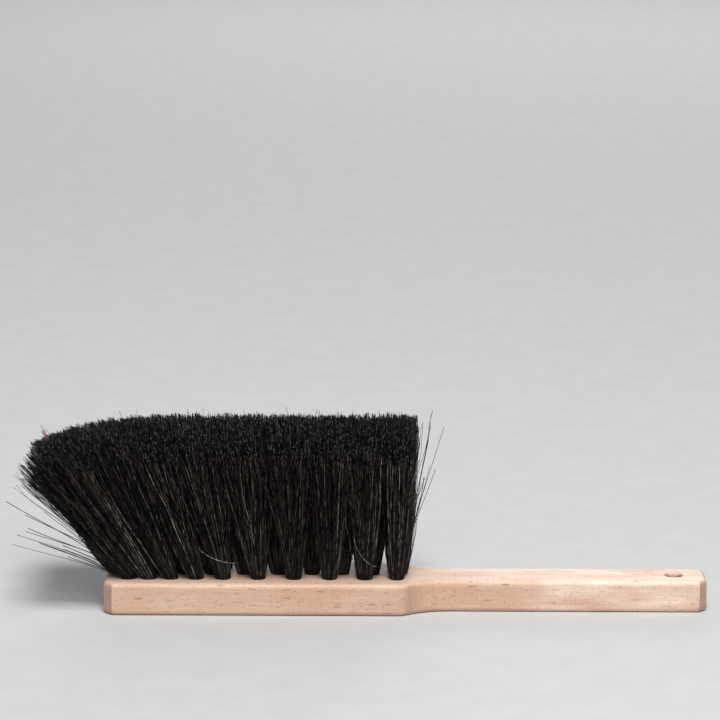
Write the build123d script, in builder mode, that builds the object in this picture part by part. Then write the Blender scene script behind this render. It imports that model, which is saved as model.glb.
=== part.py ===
"""Bee brush: a one-piece beech stock with three rows of horsehair tufts.

The brush lies on its flat back with the hair pointing up. +X runs from the nose
to the butt of the handle, +Z points out of the tuft holes, and the origin is the
middle of the flat back. All sizes are in millimetres.
"""

from build123d import *
import os
from math import atan, cos, degrees, radians, sin, tan

os.makedirs("parts", exist_ok=True)

# Stock
STOCK_LENGTH = 330.0
STOCK_THICKNESS = 18.0
HEAD_WIDTH = 45.5
HANDLE_WIDTH = 26.3
SHOULDER_X = -5.0  # where the head starts to narrow towards the handle
SHOULDER_LENGTH = 29.0
SHOULDER_SWELL = 0.21  # share of the shoulder that curves outwards, beside the head
NOSE_CHAMFER = 4.8
BUTT_CHAMFER = 4.2
CORNER_SOFTENING = 1.2  # radius on the plan corners, beside each chamfer
EDGE_RADIUS = 2.7  # long edges, top and back

# Hang hole, near the butt
HANG_HOLE_RADIUS = 4.5
HANG_HOLE_FROM_BUTT = 17.5
HANG_HOLE_LIP = 1.7

# Tuft holes: three staggered rows, numbered from the nose
ROW_SPACING = 10.0
OUTER_ROW_START = 13.7  # nose to the first hole of an outer row
OUTER_ROW_PITCHES = [11.4, 11.6, 13.8, 14.8, 19.0, 19.5, 19.5, 19.4, 17.4]
MIDDLE_ROW_START = 7.6
MIDDLE_ROW_PITCHES = [12.4, 12.0, 12.5, 14.5, 17.8, 18.4, 18.4, 16.4, 16.8, 15.2]
HOLE_RADIUS = 3.8
HOLE_DEPTH = 10.0
SEAT_SPLAY = 8.0  # degrees the outer holes lean outwards

# Lengthwise lean of the holes, in degrees towards the nose
NOSE_LEAN = 34.0  # at the first hole of an outer row
LEAN_FADES_AT = 120.0  # distance from the nose where the holes stand square
LEAN_POWER = 1.8
SHOULDER_LEAN = -1.0  # at the last hole, towards the handle
MIDDLE_ROW_LEAN = 0.82  # share of that lean which the middle row has

# Tufts
TUFT_CLEARANCE = 0.05  # hair to hole wall
NECK_LENGTH = 3.6  # round length of a tuft above its hole mouth
TIP_ROW_SPACING = 30.0
TIP_GAP = 0.8
TIP_CORNER_RADIUS = 5.0
NOSE_TIP_REACH = 8.5  # an outer row's first tuft, tip centre to nose side
MIDDLE_NOSE_TIP_REACH = 4.5
SHOULDER_TIP_REACH = 8.0  # the last tuft's tips, centre to handle side

# Trimmed surface of the hair: level, lower over the nose and towards both long sides
TRIM_HEIGHT = 105.2  # above the flat back, along the middle row
NOSE_TRIM_START = -110.0  # X where the surface starts to fall
NOSE_TRIM_END = -206.0
NOSE_TRIM_DROP = 16.0
OUTER_ROW_DROP = 5.2
OUTER_ROW_TILT = 19.0  # degrees, slope of the surface across an outer row

# Flat wire anchors, one folded into the root of each tuft
ANCHOR_LENGTH = 9.0
ANCHOR_WIDTH = 2.0
ANCHOR_THICKNESS = 0.4
ANCHOR_HEIGHT = 1.5  # above the floor of the hole

NOSE_X = -STOCK_LENGTH / 2
BUTT_X = STOCK_LENGTH / 2


def hole_lean(x):
    """Lengthwise lean of a hole in degrees, positive towards the nose."""
    from_nose = x - NOSE_X
    if from_nose < LEAN_FADES_AT:
        span = LEAN_FADES_AT - OUTER_ROW_START
        return NOSE_LEAN * ((LEAN_FADES_AT - from_nose) / span) ** LEAN_POWER
    last = OUTER_ROW_START + sum(OUTER_ROW_PITCHES)
    return SHOULDER_LEAN * (from_nose - LEAN_FADES_AT) / (last - LEAN_FADES_AT)


def trim_height(x):
    """Height of the trimmed surface over the middle row."""
    over_nose = max(0.0, (NOSE_TRIM_START - x) / (NOSE_TRIM_START - NOSE_TRIM_END))
    return TRIM_HEIGHT - NOSE_TRIM_DROP * over_nose**3


def trim_slope(x):
    """Fall of the trimmed surface towards the nose at x, in degrees."""
    step = 0.5
    return degrees(atan((trim_height(x + step) - trim_height(x - step)) / (2 * step)))


def lean_plane(origin, lean, splay):
    """Plane whose normal leans towards the nose and outwards along Y."""
    normal = Vector(-tan(radians(lean)), tan(radians(splay)), 1)
    across = Vector(cos(radians(lean)), 0, sin(radians(lean)))
    return Plane(origin=origin, x_dir=across, z_dir=normal)


class Seat:
    """One drilled hole and the tuft that stands in it."""

    def __init__(self, row, number, side, x):
        self.name = f"tuft_{row}_{number:02d}"
        lean = hole_lean(x) * (MIDDLE_ROW_LEAN if side == 0 else 1)
        mouth = (x, side * ROW_SPACING, STOCK_THICKNESS)
        self.mouth = lean_plane(mouth, lean, side * SEAT_SPLAY)
        self.floor = self.mouth.offset(-HOLE_DEPTH)

        tip_x = x
        for _ in range(30):  # closes in on where the tuft meets the trimmed surface
            tip_z = trim_height(tip_x) - abs(side) * OUTER_ROW_DROP
            tip_x = x - (tip_z - STOCK_THICKNESS) * tan(radians(lean))
        tip = (tip_x, side * TIP_ROW_SPACING, tip_z)
        self.tip = lean_plane(tip, trim_slope(tip_x), side * OUTER_ROW_TILT)


def hole_positions(start, pitches):
    """X of every hole in a row, from its first hole and its pitches."""
    positions = [NOSE_X + start]
    for pitch in pitches:
        positions.append(positions[-1] + pitch)
    return positions


def row_of_seats(row, side, positions):
    """The seats of one row, from the nose to the handle."""
    return [Seat(row, i + 1, side, x) for i, x in enumerate(positions)]


def anchor_profile(seat):
    """Sketch of one anchor, edge on, at its height above the hole's floor."""
    with BuildSketch(seat.floor.offset(ANCHOR_HEIGHT)) as profile:
        Rectangle(ANCHOR_LENGTH, ANCHOR_THICKNESS)
    return profile.sketch


outer_x = hole_positions(OUTER_ROW_START, OUTER_ROW_PITCHES)
middle_x = hole_positions(MIDDLE_ROW_START, MIDDLE_ROW_PITCHES)
rows = [
    row_of_seats("front", -1, outer_x),
    row_of_seats("middle", 0, middle_x),
    row_of_seats("back", 1, outer_x),
]
seats = [seat for row in rows for seat in row]

# Anchors: flat wire, one solid in each hole
with BuildPart() as anchor_wires:
    for seat in seats:
        extrude(anchor_profile(seat), amount=ANCHOR_WIDTH)

anchor_wires.part.label = "anchor_wires"
export_step(anchor_wires.part, "parts/anchor_wires.step")

# Stock: head, shoulder and handle in one plank, all edges rounded
with BuildPart() as beech_stock:
    with BuildSketch() as outline:
        with BuildLine():
            head_side = HEAD_WIDTH / 2
            handle_side = HANDLE_WIDTH / 2
            Polyline(
                (NOSE_X, 0),
                (NOSE_X, head_side - NOSE_CHAMFER),
                (NOSE_X + NOSE_CHAMFER, head_side),
                (SHOULDER_X, head_side),
            )
            middle = (
                SHOULDER_X + SHOULDER_SWELL * SHOULDER_LENGTH,
                head_side - SHOULDER_SWELL * (head_side - handle_side),
            )
            swell = TangentArc((SHOULDER_X, head_side), middle, tangent=(1, 0))
            TangentArc(
                middle, (SHOULDER_X + SHOULDER_LENGTH, handle_side), tangent=swell % 1
            )
            Polyline(
                (SHOULDER_X + SHOULDER_LENGTH, handle_side),
                (BUTT_X - BUTT_CHAMFER, handle_side),
                (BUTT_X, handle_side - BUTT_CHAMFER),
                (BUTT_X, 0),
            )
            mirror(about=Plane.XZ)
        make_face()
        ends = outline.vertices().group_by(Axis.X)
        corners = ends[0] + ends[1] + ends[-2] + ends[-1]
        fillet(corners.filter_by(lambda corner: abs(corner.Y) > 1), CORNER_SOFTENING)
    extrude(amount=STOCK_THICKNESS)
    back_and_top = beech_stock.faces().filter_by(Axis.Z)
    fillet(back_and_top.edges(), EDGE_RADIUS)

    with Locations((BUTT_X - HANG_HOLE_FROM_BUTT, 0, STOCK_THICKNESS)):
        Hole(HANG_HOLE_RADIUS)
    mouths = beech_stock.edges().filter_by(
        lambda edge: edge.geom_type == GeomType.CIRCLE
        and abs(edge.radius - HANG_HOLE_RADIUS) < 0.01
    )
    fillet(mouths, HANG_HOLE_LIP)

    for seat in seats:
        with BuildSketch(seat.floor):
            Circle(HOLE_RADIUS)
        extrude(amount=HOLE_DEPTH + 2 * HOLE_RADIUS, mode=Mode.SUBTRACT)
    add(anchor_wires.part, mode=Mode.SUBTRACT)

beech_stock.part.label = "beech_stock"
export_step(beech_stock.part, "parts/beech_stock.step")


def half_room(seat, neighbour):
    """How far a tuft's tips may spread towards a neighbour in its own row."""
    spacing = abs(seat.tip.to_local_coords(neighbour.tip.origin).X)
    return (spacing - TIP_GAP) / 2


# Tufts: a round root in the hole, a short round neck, and a spread brush of hair
for row in rows:
    for i, seat in enumerate(row):
        first, last = i == 0, i == len(row) - 1
        free_reach = MIDDLE_NOSE_TIP_REACH if row is rows[1] else NOSE_TIP_REACH
        nose_reach = free_reach if first else half_room(seat, row[i - 1])
        handle_reach = SHOULDER_TIP_REACH if last else half_room(seat, row[i + 1])

        with BuildPart() as tuft:
            with BuildSketch(seat.floor):
                Circle(HOLE_RADIUS - TUFT_CLEARANCE)
            extrude(amount=HOLE_DEPTH + NECK_LENGTH)
            with BuildSketch(seat.mouth.offset(NECK_LENGTH)):
                Circle(HOLE_RADIUS - TUFT_CLEARANCE)
            with BuildSketch(seat.tip):
                with Locations(((handle_reach - nose_reach) / 2, 0)):
                    RectangleRounded(
                        handle_reach + nose_reach,
                        TIP_ROW_SPACING - TIP_GAP,
                        TIP_CORNER_RADIUS,
                    )
            loft()
            extrude(anchor_profile(seat), amount=ANCHOR_WIDTH, mode=Mode.SUBTRACT)

        tuft.part.label = seat.name
        export_step(tuft.part, f"parts/{seat.name}.step")
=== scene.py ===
import math

import bpy
import numpy as np
from mathutils import Matrix, Vector


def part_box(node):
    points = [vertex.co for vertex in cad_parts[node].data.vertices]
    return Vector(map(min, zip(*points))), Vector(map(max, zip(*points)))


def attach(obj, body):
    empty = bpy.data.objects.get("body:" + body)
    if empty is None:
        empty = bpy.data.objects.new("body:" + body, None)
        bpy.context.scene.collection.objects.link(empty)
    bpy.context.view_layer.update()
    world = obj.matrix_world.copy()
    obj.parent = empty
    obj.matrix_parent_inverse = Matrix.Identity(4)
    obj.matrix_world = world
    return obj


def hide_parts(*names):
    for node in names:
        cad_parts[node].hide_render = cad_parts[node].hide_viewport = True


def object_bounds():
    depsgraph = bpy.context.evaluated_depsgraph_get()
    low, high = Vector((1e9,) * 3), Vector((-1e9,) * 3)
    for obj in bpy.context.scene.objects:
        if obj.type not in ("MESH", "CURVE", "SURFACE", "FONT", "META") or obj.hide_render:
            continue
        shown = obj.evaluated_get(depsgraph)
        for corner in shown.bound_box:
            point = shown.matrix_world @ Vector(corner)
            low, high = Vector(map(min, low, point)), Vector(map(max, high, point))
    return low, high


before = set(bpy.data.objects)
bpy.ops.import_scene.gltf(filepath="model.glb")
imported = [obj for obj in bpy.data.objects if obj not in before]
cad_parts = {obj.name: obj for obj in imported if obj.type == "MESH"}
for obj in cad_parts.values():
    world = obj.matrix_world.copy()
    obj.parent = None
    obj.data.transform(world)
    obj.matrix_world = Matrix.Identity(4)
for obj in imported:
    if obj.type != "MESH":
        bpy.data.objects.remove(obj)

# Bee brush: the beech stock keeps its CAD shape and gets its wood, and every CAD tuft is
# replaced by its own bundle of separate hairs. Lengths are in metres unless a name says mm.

cad_low, cad_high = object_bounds()
stock_low, stock_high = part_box("beech_stock")
STOCK_TOP = stock_high.z
TUFT_NODES = sorted(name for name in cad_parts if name.startswith("tuft_"))
MM = 0.001

# Hair
HAIRS_PER_TUFT = 700
HAIR_RADIUS = 0.17 * MM
HAIR_THICKNESS = (0.75, 1.3)  # thinnest and thickest hair, times that radius
HAIR_TAPER = 0.72  # radius at the tip, as a share of the radius at the root
HAIR_RINGS = 12  # cross-sections along a hair
HAIR_SIDES = 3
RINGS_AT = np.linspace(0, 1, HAIR_RINGS)  # 0 at the root, 1 at the tip
CURVE_THIRD = 0.33  # of a hair's length, to each middle control point of its curve

# Where the hairs start and end
ROOT_FILL = 0.97  # how much of the hole's radius the hairs take up
ROOT_DEPTH = 2.0 * MM  # how far a hair is followed down its hole
FLARE = 0.19  # outward slope of the outermost hairs as they leave the hole
NOSE_FLARE = 0.15  # share of that slope on the nose side of the first outer tufts
CROWN = 6.0  # per metre: how the trimmed tips round off across a row
MIXING = 0.36  # how far tips stray into the next tuft's, in half tuft widths
UNEVEN_TRIM = 0.010  # from clump to clump, as a share of the hair's length
SHORT_HAIRS = 0.018  # mean loss of length from hair to hair
SHORT_FRONT_HAIRS = 0.05  # further loss towards the front, per half tuft width
FRONT_EDGE = 0.35  # where that begins, in half tuft widths before the middle

# Extra flare of the middle and back rows, which grows towards the nose
FILLING_FLARE = 0.6
FILLING_STARTS = 130 * MM  # from the nose
FILLING_LENGTH = 40 * MM

# Long wisps on the nose side of the first front tuft, in half tuft widths
WISP_EDGE = 0.3  # only hairs that end further than this before the middle
WISP_SHARE = 0.3
WISP_REACH = 0.45
WISP_LIMIT = 1.3

# Disorder
CLUMPS_PER_TUFT = 80
GATHERING = (0.15, 0.60)  # how far a clump's hairs draw together at their tips
STRAY_SHARE = 0.03  # hairs that keep out of their clump
STRAY_REACH = 4.5 * MM
WILD_SHARE = 0.16  # hairs that bend and wave more than the others
WILD_TIMES = 2.6
BOW = 0.015  # sideways bend of a hair, as a share of the tuft's length
WAVE = 0.45 * MM  # sideways swing of a wavy hair
WAVE_CYCLES = (1.0, 2.6)
TIP_CURL = 0.9 * MM  # sideways bend of its last stretch

# Loose hairs
LOOSE_AT_END = 6  # hairs that stand away from each tuft at the nose and the handle end
NOSE_FAN = 0.90  # furthest lean of those away from the tuft, as a slope
HANDLE_FAN = 0.25
LOOSE_LENGTH = (0.4, 1.05)  # as a share of the tuft's, less for those that lean further
LOOSE_TONE = (0.1, 0.8)
LOOSE_THICKNESS = (1.0, 1.8)  # times the hair radius
CROSSING_SHARE = 0.4  # front tufts that have a pale hair lying across them
CROSSING_HEIGHT = (0.12, 0.40)  # of its lower end, as a share of the tuft's length
CROSSING_RISE = (0.0, 0.35)
CROSSING_REACH = (0.6, 1.8)  # in half tuft widths
CROSSING_BULGE = (0.5 * MM, 2.0 * MM)
CROSSING_TONE = (0.94, 0.97)
CROSSING_THICKNESS = (1.2, 1.5)

# Shades: share of the hairs, lowest and highest tone
HAIR_KINDS = [
    (0.64, 0.00, 0.50),  # black
    (0.25, 0.62, 0.84),  # brown
    (0.10, 0.86, 0.94),  # grey
    (0.01, 0.96, 1.00),  # pale
]
CLUMP_TONE = 0.1  # how much lighter a whole clump's black hairs may be

# A few hairs with reddish tips, a little longer than those around them
DYED_TUFT = "tuft_middle_01"
DYED_OFFSET = 0.4  # from the middle of its tips towards the back, in half tuft widths
DYED_HAIRS = 7
DYED_RISE = 5.0 * MM
DYE_STRENGTH = 0.85

# ---------------------------------------------------------------- materials


class Shader:
    """A new material with its Principled BSDF and short ways to add and link nodes."""

    def __init__(self, name):
        self.material = bpy.data.materials.new(name)
        self.material.use_nodes = True
        self.tree = self.material.node_tree
        self.surface = self.tree.nodes["Principled BSDF"]

    def add(self, kind, **settings):
        node = self.tree.nodes.new(kind)
        for key, value in settings.items():
            setattr(node, key, value)
        return node

    def link(self, source, target):
        self.tree.links.new(source, target)

    def along_x(self, kind):
        """X of the object's own coordinates ("Object") or of its surface ("Normal")."""
        coordinates = self.add("ShaderNodeTexCoord")
        parts = self.add("ShaderNodeSeparateXYZ")
        self.link(coordinates.outputs[kind], parts.inputs["Vector"])
        return parts.outputs["X"]

    def stretched(self, scale):
        """The object's own coordinates, scaled separately along X, Y and Z."""
        coordinates = self.add("ShaderNodeTexCoord")
        mapping = self.add("ShaderNodeMapping")
        mapping.inputs["Scale"].default_value = scale
        self.link(coordinates.outputs["Object"], mapping.inputs["Vector"])
        return mapping.outputs["Vector"]

    def noise(self, scale, detail=2.0, roughness=0.5, distortion=0.0):
        texture = self.add("ShaderNodeTexNoise")
        texture.inputs["Scale"].default_value = 1.0
        texture.inputs["Detail"].default_value = detail
        texture.inputs["Roughness"].default_value = roughness
        texture.inputs["Distortion"].default_value = distortion
        self.link(self.stretched(scale), texture.inputs["Vector"])
        return texture.outputs["Fac"]

    def flecks(self, scale, size, share):
        """Short separate marks: 1 in the middle of a mark, 0 outside it."""
        cells = self.add("ShaderNodeTexVoronoi")
        cells.inputs["Scale"].default_value = 1.0
        self.link(self.stretched(scale), cells.inputs["Vector"])
        mark = self.ramp(cells.outputs["Distance"], size * 0.35, 1.0, size, 0.0)
        pick = self.add("ShaderNodeSeparateColor")
        self.link(cells.outputs["Color"], pick.inputs["Color"])
        chosen = self.ramp(pick.outputs["Red"], 1.0 - share, 0.0, 1.0, 1.0)
        return self.math("MULTIPLY", mark, chosen)

    def ramp(self, value, start, low, end, high):
        """Maps start..end to low..high, held flat outside that range."""
        node = self.add("ShaderNodeMapRange", clamp=True)
        node.inputs["From Min"].default_value = start
        node.inputs["From Max"].default_value = end
        node.inputs["To Min"].default_value = low
        node.inputs["To Max"].default_value = high
        self.link(value, node.inputs["Value"])
        return node.outputs["Result"]

    def math(self, operation, first, second):
        node = self.add("ShaderNodeMath", operation=operation)
        for socket, value in zip(node.inputs, (first, second)):
            if isinstance(value, (int, float)):
                socket.default_value = value
            else:
                self.link(value, socket)
        return node.outputs["Value"]

    def mix(self, amount, first, second, blend="MIX"):
        node = self.add("ShaderNodeMix", data_type="RGBA", blend_type=blend)
        # the colour sockets come after those for plain numbers and vectors
        for socket, value in ((0, amount), (6, first), (7, second)):
            if isinstance(value, (int, float, tuple)):
                node.inputs[socket].default_value = value
            else:
                self.link(value, node.inputs[socket])
        return node.outputs[2]

    def bump(self, height, strength, distance):
        node = self.add("ShaderNodeBump")
        node.inputs["Strength"].default_value = strength
        node.inputs["Distance"].default_value = distance
        self.link(height, node.inputs["Height"])
        self.link(node.outputs["Normal"], self.surface.inputs["Normal"])


def beech():
    """Bare beech: pale wood with soft streaks, warm patches and short brown flecks along X."""
    wood = Shader("beech_wood")
    pale = (0.670, 0.465, 0.340, 1.0)
    paler = (0.960, 0.775, 0.630, 1.0)
    warm = (0.570, 0.340, 0.225, 1.0)
    pink = (0.620, 0.360, 0.240, 1.0)
    brown = (0.240, 0.115, 0.062, 1.0)
    end_light = (0.430, 0.275, 0.190, 1.0)
    end_dark = (0.290, 0.170, 0.115, 1.0)

    broad = wood.ramp(wood.noise((9, 130, 130), 3.0, 0.55, 0.4), 0.40, 0.0, 0.70, 0.85)
    fine = wood.ramp(wood.noise((45, 1500, 1500), 3.0, 0.6), 0.3, 0.0, 0.7, 1.0)
    patch = wood.ramp(wood.noise((26, 70, 70), 2.0), 0.44, 0.0, 0.66, 1.0)
    handle = wood.ramp(wood.along_x("Object"), 0.01, 0.0, 0.08, 0.75)
    colour = wood.mix(handle, pale, paler)
    colour = wood.mix(wood.math("MULTIPLY", broad, 0.8), colour, warm)
    colour = wood.mix(wood.math("MULTIPLY", patch, 0.65), colour, pink)
    colour = wood.mix(wood.math("MULTIPLY", fine, 0.22), colour, brown)

    small = wood.flecks((330, 1500, 1500), 0.46, 0.75)
    large = wood.flecks((110, 520, 520), 0.36, 0.40)
    colour = wood.mix(wood.math("MULTIPLY", small, 0.50), colour, brown)
    colour = wood.mix(wood.math("MULTIPLY", large, 0.70), colour, brown)

    rays = wood.ramp(wood.noise((200, 1600, 420), 2.0, 0.7), 0.35, 0.0, 0.65, 1.0)
    end_grain = wood.mix(rays, end_light, end_dark)
    cut_across = wood.math("ABSOLUTE", wood.along_x("Normal"), 0.0)
    colour = wood.mix(wood.ramp(cut_across, 0.35, 0.0, 0.72, 0.9), colour, end_grain)
    wood.link(colour, wood.surface.inputs["Base Color"])

    wood.surface.inputs["Sheen Weight"].default_value = 0.22
    rough = wood.ramp(fine, 0.0, 0.50, 1.0, 0.66)
    wood.link(rough, wood.surface.inputs["Roughness"])
    grooves = wood.math("ADD", wood.math("MULTIPLY", small, -0.8), fine)
    wood.bump(grooves, 0.25, 0.05 * MM)
    return wood.material


def horsehair():
    """Dark hair: mostly black, some brown and grey, more even at the roots, with a painted glint on
    the cut ends and painted shade just below them.
    """
    hair = Shader("dark_horsehair")
    tone = hair.add("ShaderNodeAttribute", attribute_name="tone")
    along = hair.add("ShaderNodeAttribute", attribute_name="along")
    dye = hair.add("ShaderNodeAttribute", attribute_name="dye")

    shades = hair.add("ShaderNodeValToRGB")
    stops = [
        (0.00, (0.0042, 0.0040, 0.0040, 1)),
        (0.55, (0.0180, 0.0155, 0.0145, 1)),
        (0.82, (0.0800, 0.0670, 0.0600, 1)),
        (0.93, (0.1750, 0.1530, 0.1380, 1)),
        (1.00, (0.3400, 0.3100, 0.2800, 1)),
    ]
    ramp = shades.color_ramp
    while len(ramp.elements) < len(stops):
        ramp.elements.new(0.5)
    for element, (position, colour) in zip(ramp.elements, stops):
        element.position = position
        element.color = colour
    hair.link(tone.outputs["Fac"], shades.inputs["Fac"])

    blotch = hair.noise((700, 700, 90), 2.0)
    lift = hair.ramp(blotch, 0.36, 0.15, 0.64, 2.1)
    depth = hair.ramp(along.outputs["Fac"], 0.0, 1.3, 0.93, 0.85)
    # painted shade: the hair is darkened to 0.12 just below its cut ends, standing in for the shade
    # in the tip zone between the lit cut ends
    tips = hair.ramp(along.outputs["Fac"], 0.935, 1.0, 0.975, 0.12)
    # painted highlight: the cut ends of the brown and grey hairs are coloured light grey, standing in
    # for the glint of the top light on them
    painted_end_glint = hair.math(
        "MULTIPLY",
        hair.ramp(along.outputs["Fac"], 0.984, 0.0, 0.994, 1.0),
        hair.ramp(tone.outputs["Fac"], 0.76, 0.0, 0.86, 0.7),
    )
    shade = hair.add("ShaderNodeCombineColor")
    strength = hair.math("MULTIPLY", lift, hair.math("MULTIPLY", depth, tips))
    for channel in ("Red", "Green", "Blue"):
        hair.link(strength, shade.inputs[channel])
    colour = hair.mix(1.0, shades.outputs["Color"], shade.outputs["Color"], "MULTIPLY")
    near_root = hair.ramp(along.outputs["Fac"], 0.05, 0.5, 0.38, 0.0)
    colour = hair.mix(near_root, colour, (0.036, 0.030, 0.027, 1.0))
    # painted highlight: light grey at the cut ends
    colour = hair.mix(painted_end_glint, colour, (0.12, 0.118, 0.115, 1.0))
    colour = hair.mix(dye.outputs["Fac"], colour, (0.40, 0.13, 0.17, 1.0))
    hair.link(colour, hair.surface.inputs["Base Color"])
    hair.surface.inputs["Roughness"].default_value = 0.30
    hair.surface.inputs["Specular IOR Level"].default_value = 0.03
    return hair.material


def drawn_steel():
    """Flat drawn wire: fine scratches along its length."""
    steel = Shader("drawn_steel")
    lines = steel.noise((200, 9000, 9000), 2.0)
    colour = steel.mix(lines, (0.42, 0.42, 0.41, 1.0), (0.62, 0.62, 0.60, 1.0))
    steel.link(colour, steel.surface.inputs["Base Color"])
    steel.surface.inputs["Metallic"].default_value = 1.0
    steel.surface.inputs["Roughness"].default_value = 0.35
    return steel.material


def pale_floor():
    """Matt pale grey with a faint mottle."""
    floor = Shader("pale_floor")
    mottle = floor.noise((45, 45, 45), 5.0, 0.6)
    colour = floor.mix(mottle, (0.46, 0.46, 0.456, 1.0), (0.54, 0.54, 0.535, 1.0))
    floor.link(colour, floor.surface.inputs["Base Color"])
    floor.surface.inputs["Roughness"].default_value = 0.9
    return floor.material


# ---------------------------------------------------------------- tufts


def flat_cap(centres, normals, corners, towards):
    """Corner points and outward normal of a mesh's flat end, furthest along towards."""
    facing = normals @ towards > 0.9
    last = np.where(facing, centres @ towards, -np.inf).argmax()
    normal = normals[last]
    level = (centres - centres[last]) @ normal
    same = (normals @ normal > 0.9999) & (abs(level) < 0.02 * MM)
    return np.concatenate([corners[i] for i in np.where(same)[0]]), normal


class Tuft:
    """Where one CAD tuft starts and ends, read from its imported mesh.

    to_handle and to_back are directions within its flat end, along and across the row.
    """

    def __init__(self, node):
        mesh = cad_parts[node].data
        points = np.array([v.co for v in mesh.vertices])
        centres = np.array([p.center for p in mesh.polygons])
        normals = np.array([p.normal for p in mesh.polygons])
        corners = [points[list(p.vertices)] for p in mesh.polygons]
        order = points[:, 2].argsort()
        few = max(8, len(order) // 20)
        rise = points[order[-few:]].mean(0) - points[order[:few]].mean(0)
        rise /= np.linalg.norm(rise)

        floor, down = flat_cap(centres, normals, corners, -rise)
        tips, self.normal = flat_cap(centres, normals, corners, rise)
        self.axis = -down
        bottom = (floor.min(0) + floor.max(0)) / 2
        self.radius = np.linalg.norm(floor - bottom, axis=1).max()
        self.mouth = bottom + self.axis * (STOCK_TOP - bottom[2]) / self.axis[2]

        self.to_handle = np.array([self.normal[2], 0.0, -self.normal[0]])
        self.to_handle /= np.linalg.norm(self.to_handle)
        self.to_back = np.cross(self.normal, self.to_handle)
        u, v = tips @ self.to_handle, tips @ self.to_back
        self.half = np.array([np.ptp(u) / 2, np.ptp(v) / 2])
        middle_u, middle_v = (u.min() + u.max()) / 2, (v.min() + v.max()) / 2
        height = (tips @ self.normal).mean()
        self.tip = self.to_handle * middle_u + self.to_back * middle_v + self.normal * height
        self.length = np.linalg.norm(self.tip - self.mouth)

        self.row, number = node.split("_")[1:]
        self.at_nose = number == "01"
        self.at_handle = node == max(name for name in TUFT_NODES if self.row in name)
        self.free_sides = (self.row == "front", self.row == "back")


def bezier(start, leave, arrive, end, t):
    """Points on cubic curves, one curve per row of start."""
    s = 1 - t
    weights = (s**3, 3 * s * s * t, 3 * s * t * t, t**3)
    curves = zip(weights, (start, leave, arrive, end))
    return sum(weight[None, :, None] * point[:, None, :] for weight, point in curves)


def turn_back(place, low_is_free, high_is_free):
    """Mirrors places beyond -1 or 1 back inwards, at the sides with no neighbour."""
    if low_is_free:
        place = np.where(place < -1, -2 - place, place)
    if high_is_free:
        place = np.where(place > 1, 2 - place, place)
    return place


def tip_places(tuft, angle, disc, rng):
    """Where the hairs end within the tuft's tips, -1 to 1 along and across the row."""
    count = len(disc)
    place = disc / np.maximum(abs(np.cos(angle)), abs(np.sin(angle)))[:, None]
    place = place + rng.normal(0, MIXING, (count, 2))
    place[:, 0] = turn_back(place[:, 0], tuft.at_nose, tuft.at_handle)
    place[:, 1] = turn_back(place[:, 1], *tuft.free_sides)
    if tuft.at_nose and tuft.row == "front":
        wisps = (place[:, 0] < -WISP_EDGE) & (rng.uniform(0, 1, count) < WISP_SHARE)
        place[wisps, 0] -= np.minimum(rng.exponential(WISP_REACH, wisps.sum()), WISP_LIMIT)
    return place


def trimmed_tips(tuft, place, clump, root, rng):
    """Tip of every hair at its place on the crowned surface, unevenly trimmed."""
    along, side = place[:, :1] * tuft.half[0], place[:, 1:] * tuft.half[1]
    tip = tuft.tip + along * tuft.to_handle + side * tuft.to_back - CROWN * side**2 * tuft.normal
    outer_side = np.zeros(len(place))
    if tuft.row == "front":
        outer_side = np.clip(-place[:, 1] - FRONT_EDGE, 0, 1)
    trim = rng.normal(0, UNEVEN_TRIM, CLUMPS_PER_TUFT)[clump]
    trim -= rng.exponential(SHORT_HAIRS + SHORT_FRONT_HAIRS * outer_side)
    return tip + (tip - root) * trim[:, None]


def flared(tuft, disc, spread):
    """Outward slope of every hair as it leaves the hole."""
    filling = 0.0
    if tuft.row != "front":
        from_nose = tuft.mouth[0] - stock_low.x
        filling = np.clip((FILLING_STARTS - from_nose) / FILLING_LENGTH, 0, 1)
    flare = FLARE * (1 + FILLING_FLARE * filling) * spread
    if tuft.at_nose and tuft.row != "middle":
        flare[disc[:, 0] < 0] *= NOSE_FLARE
    return flare


def add_waves(lines, wild, rng):
    """Swings every line from side to side, more towards its tip, and curls the tip."""
    count, t = len(lines), RINGS_AT
    swing = rng.normal(0, WAVE, (count, 1, 3)) * wild[:, :, None] * t[None, :, None]
    cycles, phase = rng.uniform(*WAVE_CYCLES, (count, 1)), rng.uniform(0, 1, (count, 1))
    lines += swing * np.sin(2 * math.pi * (cycles * t + phase))[:, :, None]
    lines += rng.normal(0, TIP_CURL, (count, 1, 3)) * (1, 1, 0.3) * (t**7)[None, :, None]


def gather_clumps(lines, clump, stray, rng):
    """Draws the hairs of each clump together towards their tips, all but the strays."""
    pull = rng.uniform(*GATHERING, CLUMPS_PER_TUFT)
    for i in range(CLUMPS_PER_TUFT):
        members = (clump == i) & ~stray
        if members.any():
            middle = lines[members].mean(0)
            weight = (pull[i] * RINGS_AT**1.5)[None, :, None]
            lines[members] += (middle - lines[members]) * weight


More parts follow.
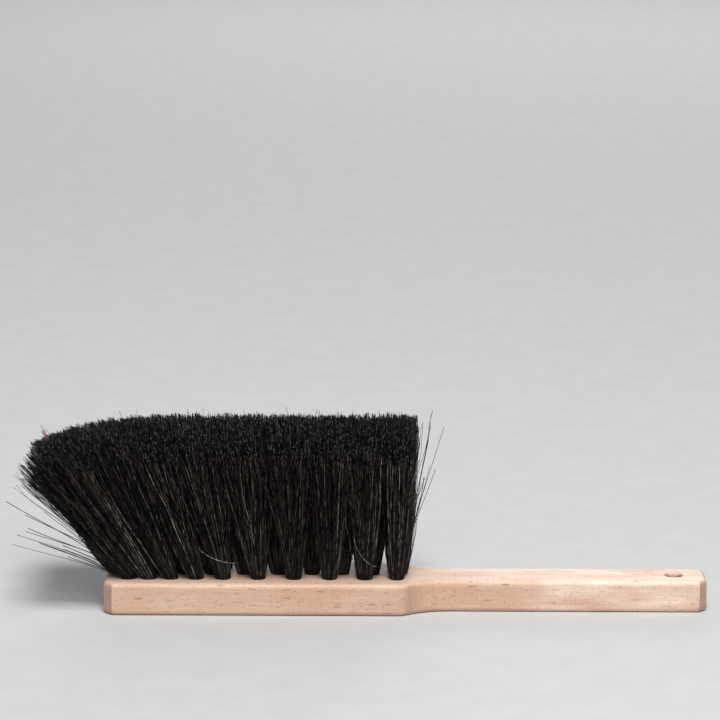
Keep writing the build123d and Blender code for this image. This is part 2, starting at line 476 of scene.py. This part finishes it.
def hair_lines(tuft, rng):
    """Centre lines of a tuft's hairs (hair, ring, xyz) and each hair's clump."""
    count = HAIRS_PER_TUFT
    angle = rng.uniform(0, 2 * math.pi, count)
    disc = np.sqrt(rng.uniform(0, 1, (count, 1))) * np.stack([np.cos(angle), np.sin(angle)], 1)
    place = tip_places(tuft, angle, disc, rng)
    centres = place[rng.choice(count, CLUMPS_PER_TUFT, replace=False)]
    clump = np.linalg.norm(place[:, None] - centres[None], axis=2).argmin(1)

    spread = disc[:, :1] * tuft.to_handle + disc[:, 1:] * tuft.to_back
    root = tuft.mouth + ROOT_FILL * tuft.radius * spread
    tip = trimmed_tips(tuft, place, clump, root, rng)
    stray = rng.uniform(0, 1, count) < STRAY_SHARE
    tip += stray[:, None] * rng.normal(0, STRAY_REACH, (count, 3)) * (1, 1, 0.35)

    ray = tip - root
    wild = np.where(rng.uniform(0, 1, (count, 1)) < WILD_SHARE, WILD_TIMES, 1.0)
    bow = rng.normal(0, BOW, (count, 3)) * wild * tuft.length
    start = root - tuft.axis * ROOT_DEPTH
    slope = tuft.axis + flared(tuft, disc, spread)
    leave = root + CURVE_THIRD * tuft.length * slope + bow * 0.5
    arrive = tip - ray * CURVE_THIRD + bow
    lines = bezier(start, leave, arrive, tip, RINGS_AT)
    add_waves(lines, wild, rng)
    gather_clumps(lines, clump, stray, rng)
    return lines, clump


def hair_tones(count, clump, rng):
    """Tone of every hair, from its kind, with whole clumps a little lighter."""
    share, low, high = np.array(HAIR_KINDS).T
    kind = rng.choice(len(HAIR_KINDS), count, p=share)
    tone = rng.uniform(low[kind], high[kind])
    return tone + CLUMP_TONE * (kind == 0) * rng.uniform(0, 1, CLUMPS_PER_TUFT)[clump]


def fanned_hairs(tuft, rng):
    """Lines, tones and thicknesses of hairs that stand away from a tuft at a free end."""
    count = LOOSE_AT_END
    away = tuft.to_handle * (-1 if tuft.at_nose else 1)
    fan = (NOSE_FAN if tuft.at_nose else HANDLE_FAN) * rng.uniform(0.1, 1, (count, 1))
    lean = (tuft.tip - tuft.mouth) / tuft.length + fan * away + rng.normal(0, 0.04, (count, 3))
    length = tuft.length * rng.uniform(*LOOSE_LENGTH, (count, 1)) / (1 + 0.6 * fan)
    foot = tuft.mouth + tuft.radius * (0.6 * away + rng.normal(0, 0.15, (count, 3)))
    tip = foot + length * lean
    leave = foot + CURVE_THIRD * length * (tuft.axis + 0.5 * fan * away)
    arrive = tip - CURVE_THIRD * length * (lean + rng.normal(0, 0.08, (count, 3)))
    lines = bezier(foot - tuft.axis * ROOT_DEPTH, leave, arrive, tip, RINGS_AT)
    return lines, rng.uniform(*LOOSE_TONE, count), rng.uniform(*LOOSE_THICKNESS, count)


def crossing_hair(tuft, rng):
    """Line, tone and thickness of one pale hair that lies across the front of a tuft."""
    low = tuft.mouth - tuft.radius * tuft.to_back
    high = tuft.tip - tuft.half[1] * tuft.to_back
    height = rng.uniform(*CROSSING_HEIGHT)
    rise = rng.uniform(*CROSSING_RISE)
    reach = rng.choice((-1, 1)) * rng.uniform(*CROSSING_REACH) * tuft.half[0] * tuft.to_handle
    start = low + height * (high - low) - reach / 2
    tip = start + rise * (high - low) + reach
    bulge = rng.uniform(*CROSSING_BULGE) * -tuft.to_back
    leave = start + reach * CURVE_THIRD + bulge
    arrive = tip - rise * 0.4 * (high - low) + bulge
    ends = [point[None] for point in (start, leave, arrive, tip)]
    lines = bezier(*ends, RINGS_AT)
    return lines, rng.uniform(*CROSSING_TONE, 1), rng.uniform(*CROSSING_THICKNESS, 1)


def hair_mesh(name, lines, radius, tone, dye):
    """One mesh of closed thin tubes along the lines, with its colour attributes."""
    count, rings, _ = lines.shape
    tangent = np.gradient(lines, axis=1)
    tangent /= np.linalg.norm(tangent, axis=2, keepdims=True)
    side = np.cross(tangent, [0.31, 0.95, 0.05])
    side /= np.linalg.norm(side, axis=2, keepdims=True)
    other = np.cross(tangent, side)
    taper = np.linspace(1.0, HAIR_TAPER, rings)[None, :, None, None]
    turn = np.arange(HAIR_SIDES) * 2 * math.pi / HAIR_SIDES
    ring = (
        np.cos(turn)[None, None, :, None] * side[:, :, None]
        + np.sin(turn)[None, None, :, None] * other[:, :, None]
    )
    points = lines[:, :, None] + ring * radius[:, None, None, None] * taper

    index = np.arange(count * rings * HAIR_SIDES).reshape(count, rings, HAIR_SIDES)
    after = np.roll(index, -1, axis=2)
    walls = np.stack([index[:, :-1], after[:, :-1], after[:, 1:], index[:, 1:]], -1)
    roots = index[:, 0, ::-1]
    ends = index[:, -1]
    faces = walls.reshape(-1, 4).tolist() + roots.tolist() + ends.tolist()

    mesh = bpy.data.meshes.new(name)
    mesh.from_pydata(points.reshape(-1, 3).tolist(), [], faces)
    mesh.polygons.foreach_set("use_smooth", np.ones(len(faces), bool))
    each = rings * HAIR_SIDES
    values = {
        "tone": np.repeat(tone, each),
        "dye": (dye[:, None] * RINGS_AT**6).repeat(HAIR_SIDES),
        "along": np.tile(RINGS_AT.repeat(HAIR_SIDES), count),
    }
    for key, value in values.items():
        attribute = mesh.attributes.new(key, "FLOAT", "POINT")
        attribute.data.foreach_set("value", value.astype(np.float32))
    lay_out_hairs(mesh, count, rings)
    return mesh


def lay_out_hairs(mesh, count, rings):
    """A UV map with a small square of its own for every hair."""
    grid = math.ceil(math.sqrt(count))
    corner = np.zeros(len(mesh.loops), int)
    mesh.loops.foreach_get("vertex_index", corner)
    hair, rest = np.divmod(corner, rings * HAIR_SIDES)
    ring, side = np.divmod(rest, HAIR_SIDES)
    # a wall's far corners come back round to side 0, one step beyond the last side
    walls = count * (rings - 1) * HAIR_SIDES * 4
    place = np.arange(walls) // 4 % HAIR_SIDES
    wrapped = (place == HAIR_SIDES - 1) & (side[:walls] == 0)
    side = side.astype(float)
    side[:walls][wrapped] = HAIR_SIDES
    u = (hair % grid + 0.1 + 0.8 * side / HAIR_SIDES) / grid
    v = (hair // grid + 0.1 + 0.8 * ring / (rings - 1)) / grid
    layer = mesh.uv_layers.new(name="OFBake")
    layer.data.foreach_set("uv", np.stack([u, v], 1).astype(np.float32).ravel())


def build_tuft(node, seed, material):
    """Replaces one CAD tuft with its hairs."""
    rng = np.random.default_rng(seed)
    tuft = Tuft(node)
    lines, clump = hair_lines(tuft, rng)
    count = len(lines)
    tone = hair_tones(count, clump, rng)
    radius = HAIR_RADIUS * rng.uniform(*HAIR_THICKNESS, count)
    dye = np.zeros(count)
    if node == DYED_TUFT:
        place = tuft.tip + DYED_OFFSET * tuft.half[1] * tuft.to_back
        away = np.linalg.norm(lines[:, -1] - place, axis=1)
        dyed = away.argsort()[:DYED_HAIRS]
        dye[dyed] = DYE_STRENGTH
        lines[dyed, :, 2] += DYED_RISE * RINGS_AT**3

    loose = []
    if tuft.at_nose or tuft.at_handle:
        loose.append(fanned_hairs(tuft, rng))
    if tuft.row == "front" and rng.uniform() < CROSSING_SHARE:
        loose.append(crossing_hair(tuft, rng))
    for more_lines, more_tone, thickness in loose:
        lines = np.concatenate([lines, more_lines])
        tone = np.r_[tone, more_tone]
        radius = np.r_[radius, HAIR_RADIUS * thickness]
        dye = np.r_[dye, np.zeros(len(more_lines))]

    mesh = hair_mesh(node.replace("tuft", "hair"), lines, radius, tone, dye)
    mesh.materials.append(material)
    piece = bpy.data.objects.new(mesh.name, mesh)
    bpy.context.scene.collection.objects.link(piece)
    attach(piece, "root")
    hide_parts(node)


FIRST_SEED = 100
hair_material = horsehair()
for number, name in enumerate(TUFT_NODES):
    build_tuft(name, FIRST_SEED + number, hair_material)

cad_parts["beech_stock"].material_slots[0].material = beech()
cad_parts["anchor_wires"].material_slots[0].material = drawn_steel()


# ---------------------------------------------------------------- stage, light, camera


def add_floor():
    under_stock = (0, 0, cad_low.z - 0.05 * MM)
    bpy.ops.mesh.primitive_plane_add(size=8.0, location=under_stock)
    floor = bpy.context.object
    floor.name = "floor"
    floor.data.materials.append(pale_floor())


def add_softbox(name, place, target, width, height, power):
    light = bpy.data.lights.new(name, "AREA")
    light.shape = "RECTANGLE"
    light.size = width
    light.size_y = height
    light.energy = power
    lamp = bpy.data.objects.new(name, light)
    lamp.location = place
    lamp.rotation_euler = (Vector(target) - Vector(place)).to_track_quat("-Z", "Y").to_euler()
    bpy.context.scene.collection.objects.link(lamp)


def add_world():
    world = bpy.data.worlds.new("studio")
    world.use_nodes = True
    background = world.node_tree.nodes["Background"]
    background.inputs["Color"].default_value = (0.93, 0.95, 1.0, 1.0)
    background.inputs["Strength"].default_value = 0.35
    bpy.context.scene.world = world


def add_camera():
    """Seen square on from the front and a little above, through a long lens."""
    distance = 2.0
    elevation = math.radians(16.32)  # of the camera, seen from the stock
    tilt = math.radians(12.56)  # of the view axis, below the horizontal
    roll = math.radians(0.22)
    along = stock_low.x + 0.1395
    aim = Vector((along, stock_low.y, (stock_low.z + stock_high.z) / 2))
    place = aim + distance * Vector((0, -math.cos(elevation), math.sin(elevation)))

    forward = Vector((0, math.cos(tilt), -math.sin(tilt)))
    right = Vector((math.cos(roll), math.sin(tilt) * math.sin(roll), math.cos(tilt) * math.sin(roll)))
    up = right.cross(forward)
    camera = bpy.data.cameras.new("camera")
    camera.lens = 183.2
    camera.sensor_width = 36.0
    camera.clip_start = 0.05
    camera.clip_end = 50.0
    stand = bpy.data.objects.new("camera", camera)
    bpy.context.scene.collection.objects.link(stand)
    turned = Matrix((right, up, -forward)).transposed().to_4x4()
    stand.matrix_world = Matrix.Translation(place) @ turned
    bpy.context.scene.camera = stand


bpy.context.scene.view_settings.view_transform = "Standard"
add_floor()
add_world()
middle = (cad_low + cad_high) / 2
add_softbox("key_softbox", (0.08, -1.45, 2.90), middle, 1.0, 1.0, 98.0)
add_softbox("front_softbox", (0.3, -2.4, 2.0), middle, 1.6, 1.0, 27.0)
add_softbox("back_softbox", (0.3, 3.0, 1.3), middle, 2.0, 1.0, 24.0)
add_camera()
